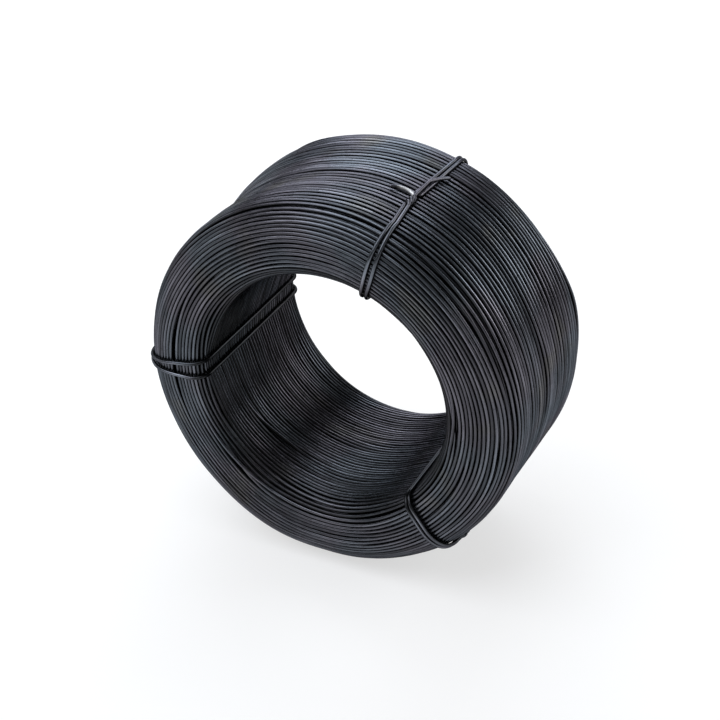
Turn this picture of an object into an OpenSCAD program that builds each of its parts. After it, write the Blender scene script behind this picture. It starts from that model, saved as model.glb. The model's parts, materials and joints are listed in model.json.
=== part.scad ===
// Coil of soft black binding wire, held by three tie wires.
// The coil stands on its rim: its axis is level along Y, and -Y is the front end.
// Millimetres, with the origin in the middle of the bore.

/* [Wire] */
// Diameter of the coiled wire
wire_d = 1; // [0.8:0.1:1.6]
// Least gap between neighbouring turns
turn_gap = 0.04; // [0.02:0.01:0.2]
// Depth of the groove that shows between two turns
groove_depth = 0.35; // [0.2:0.05:0.4]

/* [Coil] */
// Diameter over the outer turns
coil_d = 108; // [96:1:160]
// Diameter of the bore inside the turns
bore_d = 68.5; // [50:0.5:72]
// Width over the turns of the two ends
coil_w = 57; // [48:1:80]
// Rounding of the two outer edges
edge_r = 9; // [4:0.5:10]
// Rounding of the two edges of the bore
bore_edge_r = 6; // [4:0.5:8]
// How far the outermost turns are flattened, where the spindle and the press bore on them
land_depth = 0.04; // [0.03:0.01:0.1]

/* [Ties] */
// Diameter of the tie wire
tie_d = 1; // [0.8:0.1:1.4]
// Clearance between a tie and the turns under it
tie_gap = 0.1; // [0.08:0.01:0.3]
// Bend of a tie at the edges of the bore, to the middle of the wire
tie_bend_r = 4.5; // [2:0.1:4.8]
// Radius of the dent that a tie presses into the bore
dent_r = 12; // [8:0.5:16]
// Slope of the dent's two mouths, under the bends of the tie
dent_flare = 30; // [28:1:40]
// Places of the ties round the axis, in degrees from +X towards +Z
tie_top_angle = 70.3; // [50:0.1:110]
tie_left_angle = 182.4; // [160:0.1:210]
tie_right_angle = 313.7; // [290:0.1:340]
// Distance between a tie's two strands halfway across an end of the coil
top_face_spread = 1.9; // [1.2:0.1:5]
left_face_spread = 3.4; // [1.2:0.1:5]
right_face_spread = 1.4; // [1.2:0.1:5]
// Distance between a tie's two strands in the bore
top_bore_spread = 1.2; // [1.2:0.1:5]
left_bore_spread = 4.6; // [1.2:0.1:5]
right_bore_spread = 1.2; // [1.2:0.1:5]
// How far a tie leans round the coil from the bore to the rim
top_lean = 1.8; // [-4:0.1:4]
left_lean = 0.9; // [-4:0.1:4]
right_lean = -2.5; // [-4:0.1:4]

/* [Knots] */
// Distance along the rim from its rounded front edge to each tie's knot
top_setback = 8.5; // [2:0.5:12]
left_setback = 3; // [2:0.5:12]
right_setback = 3; // [2:0.5:12]
// How far each knot is pulled aside along the rim
top_shift = 1; // [-2:0.1:2]
left_shift = 0; // [-2:0.1:2]
right_shift = 0; // [-2:0.1:2]
// Whole turns in the twist where the two strands are wound together, which a quarter turn follows
twist_turns = 1; // [1:1:3]
// Length of one turn of the twist
twist_pitch = 3.6; // [3.5:0.1:5]
// Distance from the twist to the folded end behind it
fold_gap = 3; // [3:0.5:5]
// Length of the strand that runs on over the folded end
over_run = 9.5; // [8:0.5:16]
// Length of the hooked end, across the rim
hook_len = 7; // [4:0.5:10]
// Length of the loose end that slants off the rim's tie, across the rim and along it
tail_len = 3.2; // [2.5:0.1:6]
tail_run = 7; // [4:0.5:9]
// Bend of the hooked end where it turns off across the rim
end_bend_r = 2.4; // [1.2:0.1:2.5]
// How far the tip of the hooked end turns back to the front
hook_turn = 2.5; // [0:0.1:3]

/* [Hidden] */

wire_r = wire_d / 2;
tie_r = tie_d / 2;
coil_r = coil_d / 2;
bore_r = bore_d / 2;

// A thin ring limits the two roundings of an end, so that a flat of three turns stays between them
least_flat = 3 * (wire_d + turn_gap);
round_fit = min(1, (coil_r - bore_r - least_flat) / (edge_r + bore_edge_r));
edge_fit = edge_r * round_fit;
bore_edge_fit = bore_edge_r * round_fit;

// A rounded rectangle as a list of corners, each [centre, radius, first angle], in the order that
// the outline runs: outer front, outer back, bore back, bore front. "Front" is +Y of the section.
function corners(r_in, r_out, half_w, outer_round, inner_round) = [
    [[r_out - outer_round, half_w - outer_round], outer_round, 90],
    [[r_out - outer_round, outer_round - half_w], outer_round, 0],
    [[r_in + inner_round, inner_round - half_w], inner_round, -90],
    [[r_in + inner_round, half_w - inner_round], inner_round, -180]
];
function on_circle(centre, radius, angle) = centre + radius * [cos(angle), sin(angle)];
function corner_start(c) = on_circle(c[0], c[1], c[2]);
function corner_end(c) = on_circle(c[0], c[1], c[2] - 90);
function arc_length(c) = c[1] * PI / 2;

// The outline through the middles of the outermost turns
inset = wire_r - land_depth;
turn_path = corners(
    bore_r + inset, coil_r - inset, coil_w / 2 - inset, edge_fit - inset, bore_edge_fit - inset
);
function side_length(i) = norm(corner_start(turn_path[(i + 1) % 4]) - corner_end(turn_path[i]));
function stretch_length(i) = arc_length(turn_path[i]) + side_length(i);
function path_length(i = 0) = i == 4 ? 0 : stretch_length(i) + path_length(i + 1);
turn_count = floor(path_length() / (wire_d + turn_gap));
turn_pitch = path_length() / turn_count;

// The point and the outward direction at a distance s along the outline, as [point, direction]
function along(s, i = 0) =
    let (corner = turn_path[i], bend = arc_length(corner))
    s >= stretch_length(i) && i < 3 ? along(s - stretch_length(i), i + 1)
    : s < bend ? let (angle = corner[2] - 90 * s / bend)
        [on_circle(corner[0], corner[1], angle), [cos(angle), sin(angle)]]
    : let (angle = corner[2] - 90, start = corner_end(corner), run = [sin(angle), -cos(angle)])
        [start + (s - bend) * run, [cos(angle), sin(angle)]];
// The turns are counted from the middle of the rim, so the two ends are alike
rim_middle = arc_length(turn_path[0]) + side_length(0) / 2;
function turn_at(i) = along((rim_middle + (i + 0.5) * turn_pitch) % path_length());
turns = [for (i = [0 : turn_count - 1]) turn_at(i)];
function ahead(outward) = [outward[1], -outward[0]];

// Groove between a turn and the next one: a narrow block, less the rounds of the two turns
groove_top = wire_d;
groove_start = 0.03;
module groove(i) {
    sides = [turn_at(i + groove_start), turn_at(i + 1 - groove_start)];
    low = wire_r - groove_depth;
    difference() {
        polygon([
            sides[0][0] + low * sides[0][1],
            sides[1][0] + low * sides[1][1],
            sides[1][0] + groove_top * sides[1][1],
            sides[0][0] + groove_top * sides[0][1]
        ]);
        for (turn = [turn_at(i), turn_at(i + 1)])
            translate(turn[0])
                circle(d = wire_d, $fn = 32);
    }
}

// Section of the coil: an outline over the flattened crests, with a groove between each two turns
land_reach = turn_pitch * 0.3;
module coil_section() {
    difference() {
        polygon([
            for (turn = turns, side = [-1, 1])
                turn[0] + inset * turn[1] + side * land_reach * ahead(turn[1])
        ]);
        for (i = [0 : turn_count - 1])
            groove(i);
    }
}

// Stands a shape that was drawn about a vertical axis on its rim, its top end to the front
module on_its_rim() {
    rotate([90, 0, 0])
        children();
}

// The dent is as deep as a tie needs to lie clear of the bore, at the widest spread of its strands
function dent_depth(spread, lean) =
    let (reach = spread / 2 + tie_r)
    norm([bore_x, lean / 2]) - bore_r + tie_r + tie_gap + dent_r - sqrt(pow(dent_r, 2) - pow(reach, 2));

// Its mouths slope outwards where the tie bends away over the two ends
module dent(angle, spread, lean) {
    wall_z = end_z - tie_bend_r;
    mouth_r = dent_r + (coil_w - wall_z) * tan(dent_flare);
    rotate(angle - atan2(lean / 2, bore_x))
        translate([bore_r + dent_depth(spread, lean) - dent_r, 0, 0])
            rotate_extrude($fn = 96)
                polygon([
                    [0, -coil_w], [mouth_r, -coil_w], [dent_r, -wall_z],
                    [dent_r, wall_z], [mouth_r, coil_w], [0, coil_w]
                ]);
}

module wire_coil() {
    color("#3b3b3f")
        on_its_rim()
            difference() {
                rotate_extrude($fn = 180)
                    coil_section();
                dent(tie_top_angle, top_bore_spread, top_lean);
                dent(tie_left_angle, left_bore_spread, left_lean);
                dent(tie_right_angle, right_bore_spread, right_lean);
            }
}

// Ties: the wire is folded double and laid round the section, and its two ends are twisted together
// on the rim. A tie is drawn at angle 0: X runs outwards, Y across the tie and Z to the front.
rim_x = coil_r + tie_gap + tie_r;
end_z = coil_w / 2 + tie_gap + tie_r;
bore_x = bore_r + tie_gap + tie_r;
tie_edge_r = edge_fit + tie_gap + tie_r;
twist_r = tie_r * 1.06;
pair_y = twist_r;
rim_front = end_z - tie_edge_r;
fold_r = tie_r * 1.4;
tie_sides = 8;
bend_steps = 8;
twist_steps = 8;
last_step = twist_turns * twist_steps + twist_steps / 4;
twist_len = twist_pitch * last_step / twist_steps;
tie_path = corners(bore_x, rim_x, end_z, tie_edge_r, tie_bend_r);

// Half the distance between the strands, by how far out on the coil's end they are
function half_spread(x, face_spread, bore_spread) =
    let (t = (rim_x - x) / (rim_x - bore_x))
    pair_y * (1 - t) + bore_spread / 2 * t
    + (face_spread / 2 - (pair_y + bore_spread / 2) / 2) * 4 * t * (1 - t);

// How far round the coil the tie's middle lies, by how far out it is
function middle(x, lean) = lean * ((x - bore_x) / (rim_x - bore_x) - 0.5);

function bend_points(corner) =
    [for (i = [0 : bend_steps]) on_circle(corner[0], corner[1], corner[2] - 90 * i / bend_steps)];

// One strand from the front edge of the rim, over the front, through the bore and up the back
function strand(side, face_spread, bore_spread, lean) =
    let (
        front = bend_points(tie_path[0]),
        bore_front = bend_points(tie_path[3]),
        back = bend_points(tie_path[1]),
        bore_back = bend_points(tie_path[2]),
        half_end = (corner_start(tie_path[0]) + corner_end(tie_path[3])) / 2,
        half_back = [half_end[0], -half_end[1]],
        flat = concat(
            reverse(front), [half_end], reverse(bore_front), reverse(bore_back), [half_back], reverse(back)
        )
    )
    [for (p = flat) [p[0], middle(p[0], lean) + side * half_spread(p[0], face_spread, bore_spread), p[1]]];

function reverse(list) = [for (i = [len(list) - 1 : -1 : 0]) list[i]];

// The places along the rim where a knot's twist starts and ends
function twist_front(setback) = rim_front - setback;
function twist_back(setback) = twist_front(setback) - twist_len;

// One of the two strands in the twist, from the front; phase is 0 or 180
function twist(phase, setback) = [
    for (i = [0 : last_step])
        let (angle = phase - i * 360 / twist_steps)
        [
            rim_x + twist_r + twist_r * sin(angle),
            twist_r * cos(angle),
            twist_front(setback) - twist_len * i / last_step
        ]
];

// The hooked end leaves the twist low down, bends across the rim and turns back at its tip
function hook_end(setback) =
    let (start = twist_back(setback), tip_z = start - end_bend_r)
    concat(
        [
            for (i = [1 : 4])
                let (angle = i * 90 / 4)
                [rim_x, end_bend_r * (1 - cos(angle)), start - end_bend_r * sin(angle)]
        ],
        [[rim_x, (end_bend_r + hook_len) / 2, tip_z], [rim_x, hook_len, tip_z + hook_turn]]
    );
// The other end runs on over the folded end, slants off it the other way and comes down to the rim
over_x = rim_x + 2 * twist_r;
function loose_end(setback) =
    let (start = twist_back(setback) - over_run)
    [
        [over_x, 0, start],
        [over_x, -tail_len / 2, start - tail_run / 2],
        [rim_x + twist_r, -tail_len, start - tail_run]
    ];
// The fold lies on the rim behind the twist
function fold(setback) = [
    for (angle = [0 : 30 : 180])
        [rim_x, fold_r * cos(angle), twist_back(setback) - fold_gap - fold_r * (1 - sin(angle))]
];

// A tie's points, from the tip of the hooked end to the tip of the loose one
function aside(points, shift) = [for (p = points) p + [0, shift, 0]];
function tie_points(setback, shift, face_spread, bore_spread, lean) =
    let (knot_y = lean / 2 + shift)
    concat(
        aside(reverse(concat(twist(0, setback), hook_end(setback))), knot_y),
        strand(1, face_spread, bore_spread, lean),
        aside(fold(setback), knot_y),
        reverse(strand(-1, face_spread, bore_spread, lean)),
        aside(concat(twist(180, setback), loose_end(setback)), knot_y)
    );

// Sweeps a round wire along a list of points
function unit(v) = v / norm(v);
function tangent(points, i) =
    unit(points[min(i + 1, len(points) - 1)] - points[max(i - 1, 0)]);
function across(direction, along) = unit(direction - (direction * along) * along);
function normals(points) = [
    for (
        i = 0, n = across([1, 0, 0], tangent(points, 0));
        i < len(points);
        i = i + 1, n = i < len(points) ? across(n, tangent(points, i)) : n
    ) n
];

module swept_wire(points, radius) {
    side_normals = normals(points);
    last = len(points) - 1;
    rings = [
        for (i = [0 : last])
            let (n = side_normals[i], b = cross(tangent(points, i), n))
            for (k = [0 : tie_sides - 1])
                let (angle = k * 360 / tie_sides)
                points[i] + radius * (cos(angle) * n + sin(angle) * b)
    ];
    walls = [
        for (i = [0 : last - 1], k = [0 : tie_sides - 1])
            let (a = i * tie_sides + k, b = i * tie_sides + (k + 1) % tie_sides)
            each [[a, b + tie_sides, b], [a, a + tie_sides, b + tie_sides]]
    ];
    first_cap = [for (k = [0 : tie_sides - 1]) k];
    last_cap = [for (k = [tie_sides - 1 : -1 : 0]) last * tie_sides + k];
    polyhedron(rings, concat(walls, [first_cap, last_cap]), convexity = 10);
}

module tie(angle, setback, shift, face_spread, bore_spread, lean) {
    color("#4a4a4e")
        on_its_rim()
            rotate(angle)
                swept_wire(tie_points(setback, shift, face_spread, bore_spread, lean), tie_r);
}

module tie_top() {
    tie(tie_top_angle, top_setback, top_shift, top_face_spread, top_bore_spread, top_lean);
}

module tie_left() {
    tie(tie_left_angle, left_setback, left_shift, left_face_spread, left_bore_spread, left_lean);
}

module tie_right() {
    tie(tie_right_angle, right_setback, right_shift, right_face_spread, right_bore_spread, right_lean);
}

wire_coil();
tie_top();
tie_left();
tie_right();
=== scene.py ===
"""Looks of the coil of binding wire: its turns, its three ties, their steel and the studio.

Lengths are in millimetres, in the frame's axes, until a mesh is made in metres.
A point of the coil's section is a pair: its radius from the axis and its place along the axis.
"""

import json
import math

import bpy
import numpy as np
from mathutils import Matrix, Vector


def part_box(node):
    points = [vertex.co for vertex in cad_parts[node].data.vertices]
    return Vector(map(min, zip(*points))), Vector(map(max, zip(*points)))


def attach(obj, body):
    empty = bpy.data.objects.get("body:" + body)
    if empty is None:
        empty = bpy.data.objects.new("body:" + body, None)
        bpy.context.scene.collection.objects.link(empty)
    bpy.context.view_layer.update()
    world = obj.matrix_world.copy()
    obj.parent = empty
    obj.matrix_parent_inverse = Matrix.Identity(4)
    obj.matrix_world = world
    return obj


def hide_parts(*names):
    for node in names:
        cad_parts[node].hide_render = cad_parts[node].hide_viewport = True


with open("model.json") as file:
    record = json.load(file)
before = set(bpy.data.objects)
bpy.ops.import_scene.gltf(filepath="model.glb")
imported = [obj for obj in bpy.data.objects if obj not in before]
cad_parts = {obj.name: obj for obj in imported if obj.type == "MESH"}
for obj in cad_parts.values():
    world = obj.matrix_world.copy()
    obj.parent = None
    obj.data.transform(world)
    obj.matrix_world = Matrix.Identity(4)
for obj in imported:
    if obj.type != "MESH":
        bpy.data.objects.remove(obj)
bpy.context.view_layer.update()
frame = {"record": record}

MM = 0.001
SEED = 16

# Coil: its box and bore from the frame, its roundings and wire as in the part's source
coil_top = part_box("wire_coil")[1]
COIL_R = coil_top.x / MM
COIL_HALF_W = coil_top.y / MM
BORE_R = frame["record"]["mounts"][0]["dims"]["r_mm"]
EDGE_R = 9
BORE_EDGE_R = 6
WIRE_D = 1

# Turns: two layers of wire over a closed body that stands for the layers below
STATIONS = 240
TURN_SIDES = 8
UNDER_SIDES = 6
UNDER_STEP = 2
LAYER_STEP = 0.9
BODY_DEPTH = 2.3
CORNER_STEPS = 12

# Mean gaps between turns: the outermost layer isn't full on the rim and in the bore,
# where its normal's share along the radius is over ZONE_START
CLOSE_GAP = 0.08
RIM_GAP = 0.62
BORE_GAP = 0.18
ZONE_START = 0.6
OUTLINE_STEPS = 2000
# A turn counts as the rim's or the bore's where that share is over this
ZONE_SPLIT = 0.5

# Uneven gaps: sets of them round the ring, their evenness, and turns to each side that share them out
GAP_SETS = 6
GAP_SHAPE = 5
GAP_GROUP = 5
# How far the turns stray from that, and rise: size, waves round the ring, and turns that go alike
DRIFT = (0.5, 4, 8)
STRAY = (0.12, 9, 0.6)
LUMPS = (0.25, 5, 8)
# Neighbours that change places: pairs, degrees to cross and to stay, and the rise of each
CROSSINGS = 5
CROSSING_RAMP = 50
CROSSING_SPAN = (70, 200)
CROSSING_LIFT = (0.75, -0.25)
# Degrees beside a tie where turns stay down, and how far they may be pushed up elsewhere
PRESS_CLEAR = 12
ROOM = 0.8
# Settling of the turns: rounds, those at the end that only part them, and the strength of each pull
SETTLE_ROUNDS = 140
PART_ROUNDS = 12
PART_PULL = 0.3
GOAL_PULL = 0.05
SPRING_PULL = 0.2
# Turns this many wires apart can meet, and a pair's distance counts as this at least
NEIGHBOUR_REACH = 4
LEAST_APART = 0.05

# Hollows and swellings of the rim: angle, place, height, reach in degrees, reach in millimetres
RIM_FORMS = (
    (146, -2, -1.5, 15, 7),
    (140, 15, 0.9, 20, 8),
    (20, 8, 0.6, 30, 10),
    (318, 0, -0.6, 20, 12),
)
# Turns of the front end that stand apart: angle, radius, opening, reach in degrees, reach in millimetres
FACE_GAP = (178, 44, 0.6, 16, 5)

# Ties: the values of the part's source, where a quarter turn follows the twist's whole ones
TIE_D = 1
TIE_GAP = 0.1
TIE_BEND_R = 4.5
TWIST_PITCH = 3.6
TWIST_TURNS = 1.25
FOLD_GAP = 3
OVER_RUN = 9.5
HOOK_LEN = 7
HOOK_TURN = 2.5
TAIL_LEN = 3.2
TAIL_RUN = 7
END_BEND_R = 2.4
TWIST_SLACK = 1.06
FOLD_SLACK = 1.4
TIES = {
    "tie_top": dict(angle=70.3, setback=8.5, shift=1, face_spread=1.9, bore_spread=1.2, lean=1.8),
    "tie_left": dict(angle=182.4, setback=3, shift=0, face_spread=3.4, bore_spread=4.6, lean=0.9),
    "tie_right": dict(angle=313.7, setback=3, shift=0, face_spread=1.4, bore_spread=1.2, lean=-2.5),
}
# Their meshes, and their share of the turns' range of tones
TIE_SIDES = 12
TIE_SPACING = 0.4
TWIST_POINTS = 32
BEND_POINTS = 13
HOOK_POINTS = 9
TIP_POINTS = 10
CUT_END = 0.8
TIE_SHADE = 0.5
# A tie faces away from the section's core, which lies this far below it: in the bore, and elsewhere
BORE_CORE = 8
CORE = 12
# Where a painted highlight lies on the hooked end, by the length from its tip, and how softly that starts
# and ends
HIGHLIGHT_RUN = (1.5, 9.5)
HIGHLIGHT_EASE = 2
# The dents that the ties press into the turns of the bore
DENT = 1.2
DENT_REACH = 2.2
DENT_START = 0.68

# Camera: the photograph's view, for a sensor 36 mm wide, and how near and far it sees in metres
VIEW_AZIMUTH = 25.44
VIEW_ELEVATION = 31.14
VIEW_DISTANCE = 486
LENS = 88.4
SHIFT = (-0.0067, -0.016)
CLIP = (0.01, 60)

# Studio
FLOOR_HALF = 12000
FLOOR_GREY = 0.36
FLOOR_GLOW = 0.63
AMBIENT = 0.15
COOL = (0.9, 0.94, 1.0)
WHITE = (1.0, 1.0, 1.0)
LAMPS = (
    dict(name="overhead", place=(-240, -220, 720), size=(720, 1000), radiance=2.7, colour=COOL),
    dict(name="back", place=(-300, 640, 430), size=(700, 760), radiance=4.0, colour=COOL),
    dict(name="left", place=(-760, 60, 180), size=(500, 300), radiance=2.2, colour=WHITE),
    dict(name="right", place=(600, 480, 320), size=(700, 420), radiance=2.8, colour=WHITE),
)

# Steel
# The colour of the painted shade down the sides of each wire, towards the grooves between turns
PAINTED_SHADE_LEVEL = 0.016
COIL_LEVEL = 0.158
COIL_ROUGHNESS = 0.27
# The ties' crest level, lighter than the turns'; painted shade darkens it on the rim and in the bore
TIE_LEVEL = 0.22
TIE_ROUGHNESS = 0.24
# A painted highlight on the hooked end of a tie: its colour, and the roughness added there
HIGHLIGHT_LEVEL = 0.6
HIGHLIGHT_ROUGHNESS = 0.25
METALLIC = 0.9
EDGE_TINT = 0.25
COOL_OXIDE = (0.87, 0.98, 1.14)
VIOLET_OXIDE = (0.99, 0.96, 1.12)
WARM_OXIDE = (1.04, 1.01, 0.9)
BLOOM_SCALE = 38.0
RUST_SCALE = 61.0
# Marks along the wire: length in millimetres, and how many lie round it
SMOKE = (22.0, 1.0)
STREAKS = (5.0, 14.0)
SPECKS = (0.9, 5.0)
OWN_MARKS = 97.0
SPECK_RELIEF = 0.6
RELIEF = 0.25
RELIEF_DEPTH = 0.05
# Each pattern's range, and the range of colour, tone or roughness that it becomes
BLOOM_SHARE = (0.40, 0.60, 0.0, 1.0)
RUST_SHARE = (0.58, 0.74, 0.0, 0.5)
TURN_TONE = (0.0, 1.0, 0.72, 1.22)
SMOKE_TONE = (0.3, 0.7, 0.7, 1.25)
STREAK_TONE = (0.3, 0.7, 0.8, 1.2)
SPECK_TONE = (0.28, 0.42, 0.72, 1.0)
STREAK_ROUGHNESS = (0.3, 0.7, -0.07, 0.09)
SMOKE_ROUGHNESS = (0.3, 0.7, 0.06, -0.05)
# The crest line of the turns in each zone and of the ties, with painted shade down the sides towards the
# grooves and, for the ties, underneath: where the crest's light starts across the wire, and how bright it
# is. The levels are painted light and shade by zone: lightest on the rim, darker on the ends, darkest in
# the bore and on the turns below
PAINTED_SHADE_BY_ZONE = dict(rim=(0.3, 1.0), end=(0.35, 0.78), bore=(0.65, 0.6), under=(0.3, 0.6), tie=(-0.5, 1.0))
# What is left of a tie's crest line on the rim and in the bore: painted shade that darkens the tie there
TIE_ON_RIM = 0.55
TIE_IN_BORE = 0.1

# Places of a tie's centre line, from the coil's sizes
TIE_R = TIE_D / 2
TIE_RIM = COIL_R + TIE_GAP + TIE_R
TIE_END = COIL_HALF_W + TIE_GAP + TIE_R
TIE_BORE = BORE_R + TIE_GAP + TIE_R
TIE_EDGE_R = EDGE_R + TIE_GAP + TIE_R

# Angles where nothing may rise out of the winding: under the ties, and where the coil stands
PRESSED = [tie["angle"] for tie in TIES.values()] + [270]


# Turns

def section_outline(inset):
    """The section's closed outline, inset: length run at each point, and its place and normal's angle."""
    out_r, out_w = COIL_R - EDGE_R, COIL_HALF_W - EDGE_R
    in_r, in_w = BORE_R + BORE_EDGE_R, COIL_HALF_W - BORE_EDGE_R
    corners = (
        (out_r, -out_w, EDGE_R),
        (in_r, -in_w, BORE_EDGE_R),
        (in_r, in_w, BORE_EDGE_R),
        (out_r, out_w, EDGE_R),
    )
    points = [(COIL_R - inset, 0, 0)]
    for number, (radius, place, corner_r) in enumerate(corners):
        for step in range(CORNER_STEPS + 1):
            turn = -math.pi / 2 * (number + step / CORNER_STEPS)
            reach = corner_r - inset
            points.append((radius + reach * math.cos(turn), place + reach * math.sin(turn), turn))
    points.append((COIL_R - inset, 0, -2 * math.pi))
    points = np.array(points)
    runs = np.linalg.norm(np.diff(points[:, :2], axis=0), axis=1)
    return np.concatenate([[0], np.cumsum(runs)]), points


def on_outline(outline, run):
    """Points and outward normals at the given lengths along an outline."""
    lengths, points = outline
    radius, place, turn = (np.interp(run % lengths[-1], lengths, column) for column in points.T)
    return np.stack([radius, place], -1), np.stack([np.cos(turn), np.sin(turn)], -1)


def wander(rng, turns, angles, size, waves, alike):
    """A smooth random drift for each turn: waves round the ring, shared by about as many turns as alike."""
    order = np.arange(1, waves + 1)
    steps = np.abs(np.arange(turns)[:, None] - np.arange(turns))
    steps = np.minimum(steps, turns - steps)
    share = np.exp(-0.5 * (steps / alike) ** 2)
    share /= np.linalg.norm(share, axis=1, keepdims=True)
    across = share @ rng.normal(size=(turns, waves)) / np.sqrt(waves)
    along = share @ rng.normal(size=(turns, waves)) / np.sqrt(waves)
    return size * (across @ np.cos(np.outer(order, angles)) + along @ np.sin(np.outer(order, angles)))


def apart(angles, degrees):
    """Signed angle in radians from a place round the ring, the short way."""
    return (angles - np.radians(degrees) + math.pi) % (2 * math.pi) - math.pi


def smooth(value):
    """The value kept from 0 to 1, and eased at both."""
    value = np.clip(value, 0, 1)
    return value * value * (3 - 2 * value)


def crossings(rng, turns, angles):
    """Neighbours that change places for part of the way round: each one's partner, share, and lift."""
    partner = np.arange(turns)
    share = np.zeros((turns, len(angles)))
    lift = np.zeros_like(share)
    ramp = math.radians(CROSSING_RAMP)
    for first in 2 * rng.choice(turns // 2, CROSSINGS, replace=False):
        while True:
            start = rng.uniform(0, 360)
            end = start + rng.uniform(*CROSSING_SPAN)
            middles = np.radians([start + CROSSING_RAMP / 2, end + CROSSING_RAMP / 2])
            clear = min(np.abs(apart(middles, angle)).min() for angle in PRESSED)
            if clear > math.radians(PRESS_CLEAR) + ramp / 2:
                break
        past = (angles - math.radians(start)) % (2 * math.pi)
        part = smooth(past / ramp) - smooth((past - math.radians(end - start)) / ramp)
        over = 4 * part * (1 - part)
        pair = [first, first + 1]
        partner[pair] = pair[::-1]
        share[pair] = part
        lift[pair] = np.outer(CROSSING_LIFT, WIRE_D * over)
    return partner, share, lift


def surface_height(point, normal, angles):
    """Height of the winding over the even one: forms of the rim, and the dents of the ties in the bore."""
    height = np.zeros(point.shape[:2])
    for degrees, place, rise, reach_round, reach_along in RIM_FORMS:
        round_part = np.exp(-0.5 * (apart(angles, degrees) / math.radians(reach_round)) ** 2)
        along_part = np.exp(-0.5 * ((point[..., 1] - place) / reach_along) ** 2)
        height += rise * round_part * along_part * np.clip(normal[..., 0], 0, 1)
    for tie in TIES.values():
        across = np.abs(apart(angles, tie["angle"]) * BORE_R + tie["lean"] / 2)
        beside = np.maximum(across - tie["bore_spread"] / 2, 0)
        in_bore = smooth((-normal[..., 0] - DENT_START) / (1 - DENT_START))
        height -= DENT * np.exp(-0.5 * (beside / DENT_REACH) ** 2) * in_bore
    return height


def free_to_rise(angles):
    """0 where the winding is pressed and 1 away from there."""
    free = np.ones_like(angles)
    for angle in PRESSED:
        free *= 1 - np.exp(-((apart(angles, angle) / math.radians(PRESS_CLEAR)) ** 2))
    return free


def even_places(outline, full):
    """Lengths along the outline where turns with the mean gaps lie, in a full or the outermost layer."""
    run = np.linspace(0, outline[0][-1], OUTLINE_STEPS)
    outward = on_outline(outline, run)[1][:, 0]
    gap = np.full(len(run), CLOSE_GAP)
    if not full:
        gap += (RIM_GAP - CLOSE_GAP) * smooth((outward - ZONE_START) / (1 - ZONE_START))
        gap += (BORE_GAP - CLOSE_GAP) * smooth((-outward - ZONE_START) / (1 - ZONE_START))
    crowd = 1 / (WIRE_D + gap)
    count = np.concatenate([[0], np.cumsum(np.diff(run) * (crowd[1:] + crowd[:-1]) / 2)])
    turns = int(count[-1])
    return np.interp(np.arange(turns) * count[-1] / turns, count, run)


def uneven_places(rng, outline, full, angles):
    """Where the turns lie along the outline: evenly, and in groups and gaps that change round the ring."""
    even = even_places(outline, full)
    gaps = np.diff(even, append=even[0] + outline[0][-1]) - WIRE_D
    change = gaps * (rng.gamma(GAP_SHAPE, size=(GAP_SETS, len(even))) / GAP_SHAPE - 1)
    stray = np.cumsum(change - np.mean(change, axis=1, keepdims=True), axis=1)
    reach = range(-GAP_GROUP, GAP_GROUP + 1)
    stray -= np.mean([np.roll(stray, step, axis=1) for step in reach], axis=0)
    starts = 360 * np.arange(GAP_SETS)[:, None] / GAP_SETS
    steps = apart(angles, starts) * GAP_SETS / (2 * math.pi)
    return even, even[:, None] + stray.T @ smooth(1 - np.abs(steps))


def layer_goals(rng, inset, angles, full):
    """Where the turns of one layer want to lie: points, normals, and each turn's even point."""
    outline = section_outline(inset)
    start, run = uneven_places(rng, outline, full, angles)
    turns = len(start)
    run = run + wander(rng, turns, angles, *DRIFT) + wander(rng, turns, angles, *STRAY)
    lift = np.zeros_like(run)
    if not full:
        partner, share, lift = crossings(rng, turns, angles)
        run = run + share * (run[partner] - run)
    point, normal = on_outline(outline, run)
    degrees, radius, opening, reach_round, reach_along = FACE_GAP
    beside = radius - point[..., 0]
    near = np.exp(-np.abs(beside) / reach_along - (apart(angles, degrees) / math.radians(reach_round)) ** 2)
    run = run + opening * np.sign(beside) * near * smooth(-2 * normal[..., 1])
    point, normal = on_outline(outline, run)
    height = wander(rng, turns, angles, *LUMPS) * free_to_rise(angles)
    height = height + surface_height(point, normal, angles)
    home = on_outline(outline, start)[0]
    return point + (height + lift)[..., None] * normal, normal, home


def settle(goal, normal, home, angles):
    """Turns eased from their goals for a set number of rounds and pushed apart where they lie in one
    another, each a springy loop.
    """
    spread = np.linalg.norm(home[:, None] - home[None], axis=2)
    first, second = np.nonzero(np.triu(spread < NEIGHBOUR_REACH * WIRE_D, 1))
    ends = np.zeros((len(home), len(first)))
    ends[first, np.arange(len(first))] = -1
    ends[second, np.arange(len(first))] = 1
    room = ROOM * free_to_rise(angles)
    place = goal.copy()
    rounds = SETTLE_ROUNDS
    for number in range(rounds):
        gap = place[second] - place[first]
        far = np.maximum(np.linalg.norm(gap, axis=2, keepdims=True), LEAST_APART)
        push = gap / far * np.maximum(WIRE_D - far, 0)
        place += PART_PULL * np.tensordot(ends, push, 1)
        if number < rounds - PART_ROUNDS:
            place += GOAL_PULL * (goal - place)
            place += SPRING_PULL * (np.roll(place, 1, 1) + np.roll(place, -1, 1) - 2 * place)
        rise = np.sum((place - goal) * normal, axis=2)
        place -= np.maximum(rise - room, 0)[..., None] * normal
    return place


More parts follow.
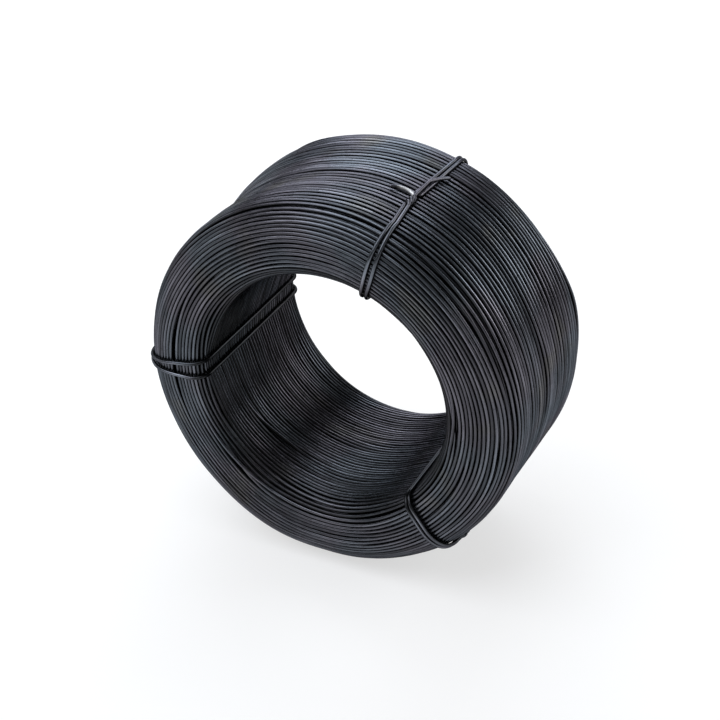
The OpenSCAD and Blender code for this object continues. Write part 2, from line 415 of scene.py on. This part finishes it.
def tube_rings(centre, normal, angles, sides):
    """Vertices round each station of each turn, and how far each one faces out of the winding."""
    inner = np.arctan2(-normal[:, 0, 1], -normal[:, 0, 0])
    turn = inner[:, None, None] + 2 * math.pi * np.arange(sides) / sides
    radius = centre[..., 0, None] + WIRE_D / 2 * np.cos(turn)
    place = centre[..., 1, None] + WIRE_D / 2 * np.sin(turn)
    angle = angles[None, :, None]
    vertices = np.stack([radius * np.cos(angle), place, radius * np.sin(angle)], -1)
    crest = normal[..., 0, None] * np.cos(turn) + normal[..., 1, None] * np.sin(turn)
    return vertices, crest


def painted_crest_shading(crest, start, level):
    """How bright the crest is at each vertex, by how far that faces out of the winding: painted shade
    darkens the sides.
    """
    return level * smooth((crest - start) / (1 - start))


def make_mesh(name, vertices, faces, uv, values):
    """An object from arrays: vertices, four-sided faces, a UV a face corner, and values a vertex."""
    mesh = bpy.data.meshes.new(name)
    mesh.vertices.add(len(vertices))
    mesh.vertices.foreach_set("co", (vertices * MM).astype(np.float32).ravel())
    mesh.loops.add(faces.size)
    mesh.loops.foreach_set("vertex_index", faces.astype(np.int32).ravel())
    mesh.polygons.add(len(faces))
    mesh.polygons.foreach_set("loop_start", np.arange(0, faces.size, 4, dtype=np.int32))
    mesh.polygons.foreach_set("use_smooth", np.ones(len(faces), bool))
    mesh.uv_layers.new(name="wire").data.foreach_set("uv", uv.astype(np.float32).ravel())
    for key, column in values.items():
        attribute = mesh.attributes.new(key, "FLOAT", "POINT")
        attribute.data.foreach_set("value", column.astype(np.float32).ravel())
    mesh.update(calc_edges=True)
    mesh.validate()
    made = bpy.data.objects.new(name, mesh)
    bpy.context.scene.collection.objects.link(made)
    return made


def tube_faces(stations, sides, closed):
    """Faces of one tube and their UVs: length along it in stations, and share of the way round."""
    station = np.arange(stations if closed else stations - 1)[:, None]
    side = np.arange(sides)[None]
    corners = ((0, 0), (0, 1), (1, 1), (1, 0))
    faces = [(station + a) % stations * sides + (side + b) % sides for a, b in corners]
    uv = [np.stack(np.broadcast_arrays(station + a, (side + b) / sides), -1) for a, b in corners]
    return np.stack(faces, -1).reshape(-1, 4), np.stack(uv, -2).reshape(-1, 2)


def make_turns(name, centre, normal, angles, sides, shade, painted_shading):
    """One piece: a set of closed turns of wire, lighter at their crests, with painted shade down their
    sides at the level set for their zone.
    """
    turns, stations = centre.shape[:2]
    vertices, crest = tube_rings(centre, normal, angles, sides)
    faces, uv = tube_faces(stations, sides, True)
    ring = stations * sides
    all_faces = (faces[None] + ring * np.arange(turns)[:, None, None]).reshape(-1, 4)
    station_run = 2 * math.pi * COIL_R / stations
    seam = (shade * stations).astype(int)[:, None] * sides * 4
    order = (np.arange(len(uv)) + seam) % len(uv)
    all_uv = (uv * (station_run, 1))[order].reshape(-1, 2)
    crest = painted_crest_shading(crest, *painted_shading)
    values = {"turn": np.repeat(shade, ring), "crest": crest, "painted_highlight": np.zeros(turns * ring)}
    return make_mesh(name, vertices.reshape(-1, 3), all_faces, all_uv, values)


def make_winding():
    """The coil's pieces: turns of the rim, ends and bore, the turns below them and the closed body."""
    rng = np.random.default_rng(SEED)
    angles = 2 * math.pi * np.arange(STATIONS) / STATIONS
    layers = [
        layer_goals(rng, WIRE_D / 2, angles, False),
        layer_goals(rng, WIRE_D / 2 + LAYER_STEP, angles, True),
    ]
    goal, normal, home = (np.concatenate(parts) for parts in zip(*layers))
    place = settle(goal, normal, home, angles)
    shade = rng.uniform(size=len(home))
    outer = len(layers[0][2])
    facing = np.mean(normal[:outer, :, 0], axis=1)
    front = home[:outer, 1] < 0
    zones = {
        "rim": facing > ZONE_SPLIT,
        "end": np.abs(facing) <= ZONE_SPLIT,
        "bore": facing < -ZONE_SPLIT,
    }
    pieces = []
    for zone, within in zones.items():
        for side, half in (("front", front), ("back", ~front)):
            turns = np.nonzero(within & half)[0]
            name = f"{side}_{zone}_turns"
            values = place[turns], normal[turns], angles, TURN_SIDES, shade[turns], PAINTED_SHADE_BY_ZONE[zone]
            pieces.append(make_turns(name, *values))
    some = slice(None, None, UNDER_STEP)
    below, outward = place[outer:, some], normal[outer:, some]
    values = below, outward, angles[some], UNDER_SIDES, shade[outer:], PAINTED_SHADE_BY_ZONE["under"]
    pieces.append(make_turns("under_turns", *values))
    pieces.append(make_body(angles[some]))
    return pieces


def make_body(angles):
    """The closed body below the turns, which stands for the inner layers, coloured all over with the
    painted shade of the grooves.
    """
    points = section_outline(BODY_DEPTH)[1][:-1]
    radius, place = points[:, 0], points[:, 1]
    sides, stations = len(points), len(angles)
    across, along = np.cos(angles)[:, None], np.sin(angles)[:, None]
    vertices = np.stack([radius * across, place + 0 * across, radius * along], -1).reshape(-1, 3)
    faces, uv = tube_faces(stations, sides, True)
    # All zero: the body takes the colour of the painted shade all over
    plain = np.zeros(sides * stations)
    values = {"turn": plain, "crest": plain, "painted_highlight": plain}
    return make_mesh("inner_layers", vertices, faces[:, ::-1], uv.reshape(-1, 4, 2)[:, ::-1], values)


# Ties

def resample(points, spacing):
    """The same line with points an even spacing apart."""
    runs = np.concatenate([[0], np.cumsum(np.linalg.norm(np.diff(points, axis=0), axis=1))])
    even = np.linspace(0, runs[-1], int(runs[-1] / spacing) + 1)
    return np.stack([np.interp(even, runs, column) for column in points.T], 1)


def tie_loop():
    """The tie's way round the section, outwards and to the front: rim, front end, bore, back end, rim."""
    def quarter(x, z, radius, first):
        turn = np.radians(first + np.linspace(0, 90, BEND_POINTS))
        return np.stack([x + radius * np.cos(turn), z + radius * np.sin(turn)], 1)

    out_x, out_z = TIE_RIM - TIE_EDGE_R, TIE_END - TIE_EDGE_R
    in_x, in_z = TIE_BORE + TIE_BEND_R, TIE_END - TIE_BEND_R
    corners = [
        quarter(out_x, out_z, TIE_EDGE_R, 0),
        quarter(in_x, in_z, TIE_BEND_R, 90),
        quarter(in_x, -in_z, TIE_BEND_R, 180),
        quarter(out_x, -out_z, TIE_EDGE_R, 270),
    ]
    return resample(np.concatenate(corners), TIE_SPACING)


def tie_path(setback, shift, face_spread, bore_spread, lean):
    """One tie's centre line, as in the part's source: outwards, across and to the front."""
    twist_r = TIE_R * TWIST_SLACK
    fold_r = TIE_R * FOLD_SLACK
    twist_front = TIE_END - TIE_EDGE_R - setback
    twist_len = TWIST_PITCH * TWIST_TURNS
    twist_back = twist_front - twist_len

    def strand(side):
        x, z = tie_loop().T
        inward = (TIE_RIM - x) / (TIE_RIM - TIE_BORE)
        even = twist_r * (1 - inward) + bore_spread / 2 * inward
        bow = (face_spread / 2 - (twist_r + bore_spread / 2) / 2) * 4 * inward * (1 - inward)
        return np.stack([x, lean * (0.5 - inward) + side * (even + bow), z], 1)

    def twist(phase):
        part = np.linspace(0, 1, TWIST_POINTS)
        turn = np.radians(phase - 360 * TWIST_TURNS * part)
        x = TIE_RIM + twist_r + twist_r * np.sin(turn)
        return np.stack([x, twist_r * np.cos(turn), twist_front - twist_len * part], 1)

    def hook():
        turn = np.radians(np.linspace(90 / HOOK_POINTS, 90, HOOK_POINTS))
        part = np.linspace(1 / TIP_POINTS, 1, TIP_POINTS)
        bend = np.stack([1 - np.cos(turn), -np.sin(turn)], 1) * END_BEND_R
        tip = np.stack([(HOOK_LEN - END_BEND_R) * part, HOOK_TURN * part**2], 1) + bend[-1]
        across, along = np.concatenate([bend, tip]).T
        return np.stack([TIE_RIM + 0 * across, across, twist_back + along], 1)

    def loose_end():
        part = np.linspace(0, 1, BEND_POINTS)
        x = TIE_RIM + twist_r * (2 - np.clip(2 * part - 1, 0, 1))
        return np.stack([x, -TAIL_LEN * part, twist_back - OVER_RUN - TAIL_RUN * part], 1)

    turn = np.radians(np.linspace(0, 180, BEND_POINTS))
    fold_z = twist_back - FOLD_GAP - fold_r * (1 - np.sin(turn))
    fold = np.stack([TIE_RIM + 0 * turn, fold_r * np.cos(turn), fold_z], 1)
    aside = np.array([0, lean / 2 + shift, 0])
    path = [
        np.concatenate([twist(0), hook()])[::-1] + aside,
        strand(1),
        fold + aside,
        strand(-1)[::-1],
        np.concatenate([twist(180), loose_end()]) + aside,
    ]
    return resample(np.concatenate(path), TIE_SPACING)


def tube_frames(points):
    """Two unit directions across the line at each point, carried along it without twist."""
    tangents = np.gradient(points, axis=0)
    tangents /= np.linalg.norm(tangents, axis=1, keepdims=True)
    first = np.zeros_like(points)
    carried = np.cross(tangents[0], (1, 0, 0))
    for number, tangent in enumerate(tangents):
        carried = carried - tangent * carried.dot(tangent)
        carried = carried / np.linalg.norm(carried)
        first[number] = carried
    return first, np.cross(tangents, first)


def make_tie(name, angle, **shape):
    """One tie: a round wire along its path, with cut ends, stood at its angle round the coil."""
    points = tie_path(**shape)
    first, second = tube_frames(points)
    turn = 2 * math.pi * np.arange(TIE_SIDES) / TIE_SIDES
    radius = np.full(len(points), TIE_R)
    radius[[0, -1]] *= CUT_END
    across = first[:, None] * np.cos(turn)[:, None] + second[:, None] * np.sin(turn)[:, None]
    rings = points[:, None] + radius[:, None, None] * across
    low, high = (TIE_BORE + BORE_CORE, -TIE_END + CORE), (TIE_RIM - CORE, TIE_END - CORE)
    outward = points[:, [0, 2]] - np.clip(points[:, [0, 2]], low, high)
    outward /= np.linalg.norm(outward, axis=1, keepdims=True)
    crest = across[..., 0] * outward[:, None, 0] + across[..., 2] * outward[:, None, 1]
    # Painted shade on the ties: darker on the rim and far darker in the bore
    on_rim, in_bore = smooth(2 * outward[:, 0]), smooth(-2 * outward[:, 0])
    tie_painted_shade = 1 - (1 - TIE_ON_RIM) * on_rim - (1 - TIE_IN_BORE) * in_bore
    crest = painted_crest_shading(crest, *PAINTED_SHADE_BY_ZONE["tie"]) * tie_painted_shade[:, None]
    away, along, front = np.moveaxis(rings.reshape(-1, 3), 1, 0)
    stood = math.radians(angle)
    x = away * math.cos(stood) - along * math.sin(stood)
    z = away * math.sin(stood) + along * math.cos(stood)
    faces, uv = tube_faces(len(points), TIE_SIDES, False)
    pair = np.arange(TIE_SIDES // 2 - 1)
    cap = np.stack([pair, pair + 1, TIE_SIDES - 2 - pair, TIE_SIDES - 1 - pair], 1)
    last = (len(points) - 1) * TIE_SIDES
    faces = np.concatenate([faces, cap[:, ::-1], cap + last])
    uv = np.concatenate([uv * (TIE_SPACING, 1), np.zeros((8 * len(pair), 2))])
    run = np.repeat(TIE_SPACING * np.arange(len(points)), TIE_SIDES)
    # Painted highlight along the hooked end, by the length from its tip
    painted_highlight = smooth((run - HIGHLIGHT_RUN[0]) / HIGHLIGHT_EASE) * smooth((HIGHLIGHT_RUN[1] - run) / HIGHLIGHT_EASE)
    values = {"turn": np.full(len(painted_highlight), TIE_SHADE), "crest": crest, "painted_highlight": painted_highlight}
    return make_mesh(name, np.stack([x, -front, z], 1), faces, uv, values)


# Steel

def add_node(tree, kind, inputs=None, **settings):
    """A node with its settings, and its inputs set or linked."""
    made = tree.nodes.new(kind)
    for key, value in settings.items():
        setattr(made, key, value)
    for key, value in (inputs or {}).items():
        if isinstance(value, bpy.types.NodeSocket):
            tree.links.new(value, made.inputs[key])
        else:
            made.inputs[key].default_value = value
    return made


def maths(tree, operation, first, second):
    return add_node(tree, "ShaderNodeMath", {0: first, 1: second}, operation=operation).outputs[0]


def span(tree, value, low, high, to_low, to_high):
    """A value moved from one range to another, and kept in it."""
    inputs = {"Value": value, "From Min": low, "From Max": high, "To Min": to_low, "To Max": to_high}
    return add_node(tree, "ShaderNodeMapRange", inputs, interpolation_type="SMOOTHSTEP").outputs[0]


def blend_colours(tree, share, first, second):
    made = add_node(tree, "ShaderNodeMix", data_type="RGBA")
    for key, value in (("Factor_Float", share), ("A_Color", first), ("B_Color", second)):
        socket = next(s for s in made.inputs if s.identifier == key)
        if isinstance(value, bpy.types.NodeSocket):
            tree.links.new(value, socket)
        else:
            socket.default_value = value
    return next(s for s in made.outputs if s.identifier == "Result_Color")


def noise(tree, vector, scale, detail):
    inputs = {"Vector": vector, "Scale": scale, "Detail": detail}
    return add_node(tree, "ShaderNodeTexNoise", inputs).outputs["Fac"]


def grey(level, tint=(1.0, 1.0, 1.0)):
    return (level * tint[0], level * tint[1], level * tint[2], 1.0)


def steel(name, groove_shade_level, crest_level, roughness):
    """Black annealed steel wire: bloom of the oxide, drawn streaks, crests lighter than the painted shade
    down the sides, and a painted highlight on a tie's hooked end.
    """
    material = bpy.data.materials.new(name)
    material.use_nodes = True
    tree = material.node_tree
    tree.nodes.clear()
    place = add_node(tree, "ShaderNodeTexCoord").outputs["Object"]
    turn = add_node(tree, "ShaderNodeAttribute", attribute_name="turn").outputs["Fac"]
    crest = add_node(tree, "ShaderNodeAttribute", attribute_name="crest").outputs["Fac"]
    painted_highlight = add_node(tree, "ShaderNodeAttribute", attribute_name="painted_highlight").outputs["Fac"]
    uv = add_node(tree, "ShaderNodeUVMap", uv_map="wire").outputs["UV"]
    run = add_node(tree, "ShaderNodeSeparateXYZ", {"Vector": uv})
    own = maths(tree, "MULTIPLY", turn, OWN_MARKS)

    def along_wire(length, width):
        """Coordinates stretched along the wire, its own for each turn."""
        x = maths(tree, "DIVIDE", run.outputs["X"], length)
        y = maths(tree, "MULTIPLY", run.outputs["Y"], width)
        return add_node(tree, "ShaderNodeCombineXYZ", {"X": x, "Y": y, "Z": own}).outputs[0]

    bloom = noise(tree, place, scale=BLOOM_SCALE, detail=3.0)
    rust = noise(tree, place, scale=RUST_SCALE, detail=2.0)
    smoke = noise(tree, along_wire(*SMOKE), scale=1.0, detail=2.0)
    streaks = noise(tree, along_wire(*STREAKS), scale=1.0, detail=3.0)
    specks = noise(tree, along_wire(*SPECKS), scale=1.0, detail=2.0)

    cool = grey(crest_level, COOL_OXIDE)
    violet = grey(crest_level, VIOLET_OXIDE)
    warm = grey(crest_level, WARM_OXIDE)
    tinted = blend_colours(tree, span(tree, bloom, *BLOOM_SHARE), cool, violet)
    tinted = blend_colours(tree, span(tree, rust, *RUST_SHARE), tinted, warm)
    tone = span(tree, turn, *TURN_TONE)
    tone = maths(tree, "MULTIPLY", tone, span(tree, smoke, *SMOKE_TONE))
    tone = maths(tree, "MULTIPLY", tone, span(tree, streaks, *STREAK_TONE))
    tone = maths(tree, "MULTIPLY", tone, span(tree, specks, *SPECK_TONE))
    inputs = {0: tinted, "Scale": tone}
    shaded = add_node(tree, "ShaderNodeVectorMath", inputs, operation="SCALE").outputs[0]
    # Painted shade: the colour darkens from the crest down the wire's sides towards the grooves
    colour = blend_colours(tree, crest, grey(groove_shade_level), shaded)
    # Painted highlight: the hooked end of a tie is made bright
    colour = blend_colours(tree, painted_highlight, colour, grey(HIGHLIGHT_LEVEL))

    low, high, less, more = STREAK_ROUGHNESS
    rough = span(tree, streaks, low, high, roughness + less, roughness + more)
    rough = maths(tree, "ADD", rough, span(tree, smoke, *SMOKE_ROUGHNESS))
    rough = maths(tree, "ADD", rough, maths(tree, "MULTIPLY", painted_highlight, HIGHLIGHT_ROUGHNESS))
    height = maths(tree, "ADD", streaks, maths(tree, "MULTIPLY", specks, SPECK_RELIEF))
    inputs = {"Height": height, "Strength": RELIEF, "Distance": RELIEF_DEPTH * MM}
    bump = add_node(tree, "ShaderNodeBump", inputs).outputs[0]
    inputs = {"Base Color": colour, "Roughness": rough, "Metallic": METALLIC, "Normal": bump}
    inputs["Specular Tint"] = grey(EDGE_TINT)
    shader = add_node(tree, "ShaderNodeBsdfPrincipled", inputs)
    add_node(tree, "ShaderNodeOutputMaterial", {"Surface": shader.outputs[0]})
    return material


# Studio

def make_floor():
    """A pale floor under the rim, with a glow that the camera and reflections see."""
    half, low = FLOOR_HALF * MM, -COIL_R * MM
    mesh = bpy.data.meshes.new("floor")
    corners = [(-half, -half, low), (half, -half, low), (half, half, low), (-half, half, low)]
    mesh.from_pydata(corners, [], [(0, 1, 2, 3)])
    floor = bpy.data.objects.new("floor", mesh)
    bpy.context.scene.collection.objects.link(floor)
    material = bpy.data.materials.new("floor")
    material.use_nodes = True
    tree = material.node_tree
    tree.nodes.clear()
    path = add_node(tree, "ShaderNodeLightPath").outputs
    seen = maths(tree, "MAXIMUM", path["Is Camera Ray"], path["Is Glossy Ray"])
    seen = maths(tree, "MAXIMUM", seen, path["Is Transmission Ray"])
    glow = add_node(tree, "ShaderNodeEmission", {"Strength": maths(tree, "MULTIPLY", seen, FLOOR_GLOW)})
    plain = add_node(tree, "ShaderNodeBsdfDiffuse", {"Color": grey(FLOOR_GREY)})
    both = add_node(tree, "ShaderNodeAddShader", {0: plain.outputs[0], 1: glow.outputs[0]})
    add_node(tree, "ShaderNodeOutputMaterial", {"Surface": both.outputs[0]})
    mesh.materials.append(material)
    return floor


def make_lamp(name, place, size, radiance, colour):
    """A soft box that faces the coil. Its brightness is the same whatever its size."""
    light = bpy.data.lights.new(name, "AREA")
    light.shape = "RECTANGLE"
    light.size, light.size_y = size[0] * MM, size[1] * MM
    light.energy = radiance * math.pi * light.size * light.size_y
    light.color = colour
    lamp = bpy.data.objects.new(name, light)
    lamp.location = Vector(place) * MM
    lamp.rotation_euler = (-lamp.location).to_track_quat("-Z", "Y").to_euler()
    bpy.context.scene.collection.objects.link(lamp)


def make_world():
    world = bpy.data.worlds.new("studio")
    bpy.context.scene.world = world
    world.use_nodes = True
    tree = world.node_tree
    tree.nodes.clear()
    air = add_node(tree, "ShaderNodeBackground", {"Color": grey(1.0), "Strength": AMBIENT})
    add_node(tree, "ShaderNodeOutputWorld", {"Surface": air.outputs[0]})


def make_camera():
    """The photograph's view: aimed at the middle of the bore, and shifted to the photograph's framing."""
    azimuth, elevation = math.radians(VIEW_AZIMUTH), math.radians(VIEW_ELEVATION)
    level = math.cos(elevation)
    back = Vector((math.sin(azimuth) * level, -math.cos(azimuth) * level, math.sin(elevation)))
    data = bpy.data.cameras.new("camera")
    data.lens = LENS
    data.shift_x, data.shift_y = SHIFT
    data.clip_start, data.clip_end = CLIP
    camera = bpy.data.objects.new("camera", data)
    camera.location = back * VIEW_DISTANCE * MM
    camera.rotation_euler = (-back).to_track_quat("-Z", "Y").to_euler()
    bpy.context.scene.collection.objects.link(camera)
    bpy.context.scene.camera = camera


# Hand-over

coil_steel = steel("coil_wire", PAINTED_SHADE_LEVEL, COIL_LEVEL, COIL_ROUGHNESS)
tie_steel = steel("tie_wire", PAINTED_SHADE_LEVEL, TIE_LEVEL, TIE_ROUGHNESS)

for piece in make_winding():
    piece.data.materials.append(coil_steel)
    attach(piece, "root")
    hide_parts("wire_coil")

for node, values in TIES.items():
    piece = make_tie(node + "_wire", **values)
    piece.data.materials.append(tie_steel)
    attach(piece, "root")
    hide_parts(node)

make_floor()
make_world()
for lamp in LAMPS:
    make_lamp(**lamp)
make_camera()
bpy.context.scene.view_settings.view_transform = "Standard"
